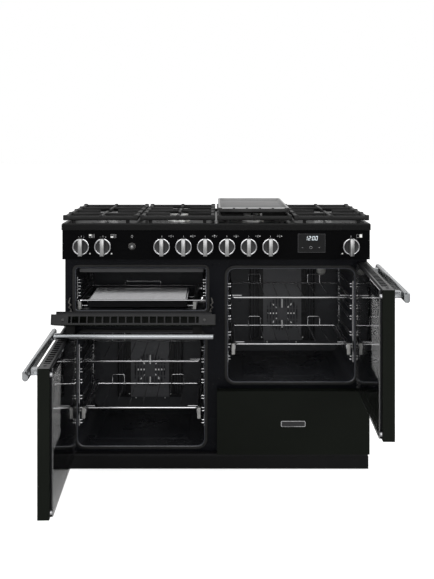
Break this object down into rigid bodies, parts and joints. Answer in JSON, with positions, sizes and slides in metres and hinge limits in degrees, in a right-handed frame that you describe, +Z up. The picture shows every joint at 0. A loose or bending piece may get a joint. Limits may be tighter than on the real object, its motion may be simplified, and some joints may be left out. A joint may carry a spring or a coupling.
{
  "type": "range cooker",
  "caption": "Range cooker with side-hinged oven doors, drop-down grill door, storage drawer, gas hob with griddle, sliding shelves and glide-out grill pan.",
  "frame": {"origin": "on the floor under the middle of the cooker, in the plane of the oven mouths", "axes": "+X to the right seen from the front, +Y to the back, +Z up"},
  "size_m": [1.181, 1.1044, 0.936],
  "materials": {
    "base_steel": "satin galvanised sheet",
    "casing": "satin black paint",
    "back_steel": "bare zinc-coated sheet",
    "panel_enamel": "gloss black enamel",
    "frame_enamel": "satin black enamel",
    "hob_enamel": "gloss black enamel",
    "oven_enamel": "speckled dark grey enamel",
    "gasket": "matt black",
    "wire_chrome": "polished wire",
    "element_steel": "heat-darkened tube",
    "burner_iron": "matt black",
    "cast_grate": "matt black enamel",
    "timer_glass": "dark gloss window",
    "hinge_steel": "plated steel",
    "gas_steel": "plated steel",
    "motor_steel": "plain steel",
    "lamp_glass": "clear cover",
    "door_enamel": "gloss black enamel with an olive cast",
    "door_glass": "dark tinted glass",
    "cap_enamel": "satin black",
    "handle_steel": "brushed",
    "drawer_steel": "zinc-coated sheet",
    "pan_enamel": "gloss enamel",
    "knob_chrome": "polished ring with a dark face",
    "spindle_brass": "turned",
    "button_plastic": "matt black",
    "griddle_iron": "matt black",
    "fan_aluminium": "plain"
  },
  "bodies": {
    "cooker": {"base_frame": "base_steel", "side_panels": "casing", "back_panel": "back_steel", "plinth": "panel_enamel", "front_frame": "frame_enamel", "control_panel": "panel_enamel", "hob_tray": "hob_enamel", "left_oven_liner": "oven_enamel", "right_oven_liner": "oven_enamel", "grill_liner": "oven_enamel", "door_gaskets": "gasket", "fan_covers": "oven_enamel", "shelf_ladders": "wire_chrome", "heating_elements": "element_steel", "burners": "burner_iron", "pan_supports": "cast_grate", "timer_and_switches": "timer_glass", "door_hinges": "hinge_steel", "gas_rail": "gas_steel", "fan_motors": "motor_steel", "oven_lamps": "lamp_glass"},
    "left_door": {"left_door_skin": "door_enamel", "left_door_inner": "door_glass", "left_door_cap": "cap_enamel", "left_door_handle": "handle_steel"},
    "right_door": {"right_door_skin": "door_enamel", "right_door_inner": "door_glass", "right_door_cap": "cap_enamel", "right_door_handle": "handle_steel"},
    "grill_door": {"grill_door_skin": "door_enamel", "grill_door_inner": "door_glass", "grill_door_cap": "cap_enamel", "grill_door_handle": "handle_steel"},
    "drawer": {"drawer_front": "door_enamel", "drawer_box": "drawer_steel"},
    "left_upper_shelf_body": {"left_upper_shelf": "wire_chrome"},
    "left_lower_shelf_body": {"left_lower_shelf": "wire_chrome"},
    "right_upper_shelf_body": {"right_upper_shelf": "wire_chrome"},
    "right_lower_shelf_body": {"right_lower_shelf": "wire_chrome"},
    "grill_tray": {"grill_carriage": "wire_chrome", "grill_pan": "pan_enamel"},
    "grill_knob_body": {"grill_knob": "knob_chrome"},
    "left_oven_knob_body": {"left_oven_knob": "knob_chrome"},
    "right_oven_knob_body": {"right_oven_knob": "knob_chrome"},
    "light_button_body": {"light_button": "button_plastic"},
    "griddle_body": {"griddle": "griddle_iron"},
    "left_fan_body": {"left_fan": "fan_aluminium"},
    "right_fan_body": {"right_fan": "fan_aluminium"},
    "hob_knob_1_body": {"hob_knob_1": "knob_chrome"},
    "hob_spindle_1_body": {"hob_spindle_1": "spindle_brass"},
    "hob_knob_2_body": {"hob_knob_2": "knob_chrome"},
    "hob_spindle_2_body": {"hob_spindle_2": "spindle_brass"},
    "hob_knob_3_body": {"hob_knob_3": "knob_chrome"},
    "hob_spindle_3_body": {"hob_spindle_3": "spindle_brass"},
    "hob_knob_4_body": {"hob_knob_4": "knob_chrome"},
    "hob_spindle_4_body": {"hob_spindle_4": "spindle_brass"},
    "hob_knob_5_body": {"hob_knob_5": "knob_chrome"},
    "hob_spindle_5_body": {"hob_spindle_5": "spindle_brass"},
    "hob_knob_6_body": {"hob_knob_6": "knob_chrome"},
    "hob_spindle_6_body": {"hob_spindle_6": "spindle_brass"}
  },
  "joints": [
    {"name": "left_oven_door", "type": "hinge", "parent": "cooker", "child": "left_door", "pos_m": [-0.523, -0.028, 0.288], "axis": [0, 0, -1], "range_deg": [-88, 11]},
    {"name": "right_oven_door", "type": "hinge", "parent": "cooker", "child": "right_door", "pos_m": [0.523, -0.028, 0.5195], "axis": [0, 0, 1], "range_deg": [-88, 11]},
    {"name": "grill_door_hinge", "type": "hinge", "parent": "cooker", "child": "grill_door", "pos_m": [-0.274, -0.035, 0.532], "axis": [1, 0, 0], "range_deg": [-76, 0]},
    {"name": "drawer_slide", "type": "slide", "parent": "cooker", "child": "drawer", "axis": [0, -1, 0], "range_m": [0, 0.4]},
    {"name": "left_upper_shelf_slide", "type": "slide", "parent": "cooker", "child": "left_upper_shelf_body", "axis": [0, -1, 0], "range_m": [0, 0.25]},
    {"name": "left_lower_shelf_slide", "type": "slide", "parent": "cooker", "child": "left_lower_shelf_body", "axis": [0, -1, 0], "range_m": [0, 0.25]},
    {"name": "right_upper_shelf_slide", "type": "slide", "parent": "cooker", "child": "right_upper_shelf_body", "axis": [0, -1, 0], "range_m": [0, 0.25]},
    {"name": "right_lower_shelf_slide", "type": "slide", "parent": "cooker", "child": "right_lower_shelf_body", "axis": [0, -1, 0], "range_m": [0, 0.25]},
    {"name": "grill_carriage_slide", "type": "slide", "parent": "cooker", "child": "grill_tray", "axis": [0, -1, 0], "range_m": [0, 0.05]},
    {"name": "grill_knob_turn", "type": "hinge", "parent": "cooker", "child": "grill_knob_body", "pos_m": [-0.4785, -0.06, 0.804], "axis": [0, 1, 0], "range_deg": [0, 300]},
    {"name": "left_oven_knob_turn", "type": "hinge", "parent": "cooker", "child": "left_oven_knob_body", "pos_m": [-0.4015, -0.06, 0.804], "axis": [0, 1, 0], "range_deg": [0, 300]},
    {"name": "right_oven_knob_turn", "type": "hinge", "parent": "cooker", "child": "right_oven_knob_body", "pos_m": [0.4785, -0.06, 0.804], "axis": [0, 1, 0], "range_deg": [0, 300]},
    {"name": "hob_spindle_1_push", "type": "slide", "parent": "cooker", "child": "hob_spindle_1_body", "axis": [0, -1, 0], "range_m": [-0.003, 0], "stiffness_N_per_m": 1500},
    {"name": "hob_knob_1_turn", "type": "hinge", "parent": "hob_spindle_1_body", "child": "hob_knob_1_body", "pos_m": [-0.1925, -0.06, 0.804], "axis": [0, -1, 0], "range_deg": [0, 210]},
    {"name": "hob_spindle_2_push", "type": "slide", "parent": "cooker", "child": "hob_spindle_2_body", "axis": [0, -1, 0], "range_m": [-0.003, 0], "stiffness_N_per_m": 1500},
    {"name": "hob_knob_2_turn", "type": "hinge", "parent": "hob_spindle_2_body", "child": "hob_knob_2_body", "pos_m": [-0.1155, -0.06, 0.804], "axis": [0, -1, 0], "range_deg": [0, 210]},
    {"name": "hob_spindle_3_push", "type": "slide", "parent": "cooker", "child": "hob_spindle_3_body", "axis": [0, -1, 0], "range_m": [-0.003, 0], "stiffness_N_per_m": 1500},
    {"name": "hob_knob_3_turn", "type": "hinge", "parent": "hob_spindle_3_body", "child": "hob_knob_3_body", "pos_m": [-0.0385, -0.06, 0.804], "axis": [0, -1, 0], "range_deg": [0, 210]},
    {"name": "hob_spindle_4_push", "type": "slide", "parent": "cooker", "child": "hob_spindle_4_body", "axis": [0, -1, 0], "range_m": [-0.003, 0], "stiffness_N_per_m": 1500},
    {"name": "hob_knob_4_turn", "type": "hinge", "parent": "hob_spindle_4_body", "child": "hob_knob_4_body", "pos_m": [0.0385, -0.06, 0.804], "axis": [0, -1, 0], "range_deg": [0, 210]},
    {"name": "hob_spindle_5_push", "type": "slide", "parent": "cooker", "child": "hob_spindle_5_body", "axis": [0, -1, 0], "range_m": [-0.003, 0], "stiffness_N_per_m": 1500},
    {"name": "hob_knob_5_turn", "type": "hinge", "parent": "hob_spindle_5_body", "child": "hob_knob_5_body", "pos_m": [0.1155, -0.06, 0.804], "axis": [0, -1, 0], "range_deg": [0, 210]},
    {"name": "hob_spindle_6_push", "type": "slide", "parent": "cooker", "child": "hob_spindle_6_body", "axis": [0, -1, 0], "range_m": [-0.003, 0], "stiffness_N_per_m": 1500},
    {"name": "hob_knob_6_turn", "type": "hinge", "parent": "hob_spindle_6_body", "child": "hob_knob_6_body", "pos_m": [0.1925, -0.06, 0.804], "axis": [0, -1, 0], "range_deg": [0, 210]},
    {"name": "light_button_push", "type": "slide", "parent": "cooker", "child": "light_button_body", "axis": [0, -1, 0], "range_m": [-0.002, 0], "stiffness_N_per_m": 400},
    {"name": "griddle_lift", "type": "slide", "parent": "cooker", "child": "griddle_body", "axis": [0, 0, 1], "range_m": [0, 0.05]},
    {"name": "left_fan_spin", "type": "hinge", "parent": "cooker", "child": "left_fan_body", "pos_m": [-0.271, 0.42, 0.2345], "axis": [0, 1, 0], "continuous": true},
    {"name": "right_fan_spin", "type": "hinge", "parent": "cooker", "child": "right_fan_body", "pos_m": [0.271, 0.42, 0.466], "axis": [0, 1, 0], "continuous": true}
  ]
}
